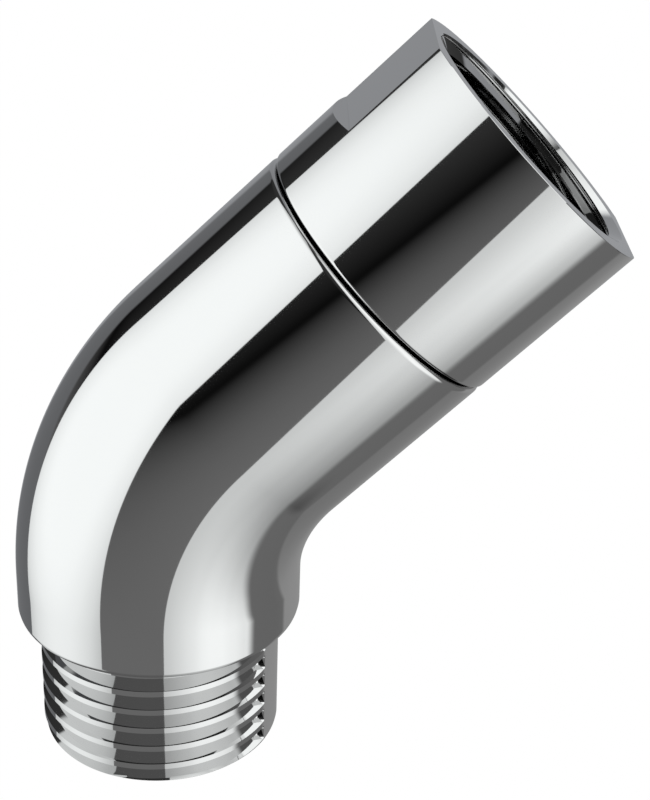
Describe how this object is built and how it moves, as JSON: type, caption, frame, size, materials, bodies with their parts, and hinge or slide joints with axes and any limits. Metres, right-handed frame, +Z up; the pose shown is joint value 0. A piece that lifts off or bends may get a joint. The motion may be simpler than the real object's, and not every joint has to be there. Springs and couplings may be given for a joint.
{
  "type": "wall outlet elbow",
  "caption": "Chrome-plated pipe elbow with a male pipe thread, a gentle bend and a swivel nut with a female thread and wrench flats, for joining a shower outlet to an arm or hose.",
  "frame": {"origin": "centre of the lower shoulder, where the male thread meets the body", "axes": "+Z up along the lower leg, away from the male thread; +X towards the side the elbow bends to"},
  "size_m": [0.0499, 0.0246, 0.0628],
  "materials": {
    "body_chrome": "bright chrome plate on polished brass",
    "nut_chrome": "bright chrome plate on polished brass",
    "ring_steel": "drawn spring wire, bright",
    "washer_rubber": "matt moulded rubber"
  },
  "bodies": {
    "elbow": {"elbow_body": "body_chrome", "snap_ring": "ring_steel", "seal_washer": "washer_rubber"},
    "nut": {"swivel_nut": "nut_chrome"}
  },
  "joints": [
    {"name": "nut_swivel", "type": "hinge", "parent": "elbow", "child": "nut", "pos_m": [0.01802, 0, 0.03105], "axis": [0.7071, 0, 0.7071], "continuous": true}
  ]
}
